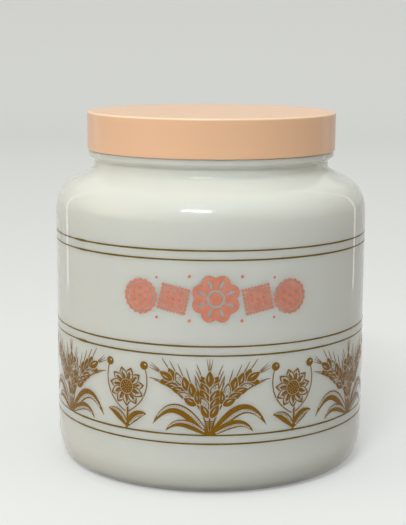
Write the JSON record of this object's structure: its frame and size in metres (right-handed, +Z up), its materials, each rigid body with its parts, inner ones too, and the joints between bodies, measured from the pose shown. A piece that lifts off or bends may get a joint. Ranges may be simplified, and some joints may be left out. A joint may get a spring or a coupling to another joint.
{
  "type": "biscuit jar",
  "caption": "Round opal glass biscuit jar with a wide screw neck, a flat plastic screw lid and a sealing liner inside the lid.",
  "frame": {"origin": "middle of the base, on the surface that the jar stands on", "axes": "+Z up along the axis of the jar, its neck and its lid; -Y is the front, where the middle of the printed ornament is"},
  "size_m": [0.155, 0.155, 0.174],
  "materials": {
    "opal_glass": "glossy, opaque white",
    "lid_plastic": "semi-gloss moulded peach",
    "liner_plastic": "soft matt polyethylene",
    "brown_enamel": "gold-brown enamel fired on glass",
    "pink_enamel": "pink enamel fired on glass"
  },
  "bodies": {
    "jar": {"jar_body": "opal_glass"},
    "liner": {"lid_liner": "liner_plastic"},
    "lid": {"lid_cap": "lid_plastic"}
  },
  "joints": [
    {"name": "lid_rise", "type": "slide", "parent": "jar", "child": "liner", "axis": [0, 0, 1], "range_m": [0, 0.03048]},
    {"name": "lid_turn", "type": "hinge", "parent": "liner", "child": "lid", "pos_m": [0, 0, 0.1724], "axis": [0, 0, 1], "range_deg": [0, 2160]}
  ],
  "couplings": [
    {"joint": "lid_rise", "follows": "lid_turn", "m_per_rad": 0.00080851}
  ]
}
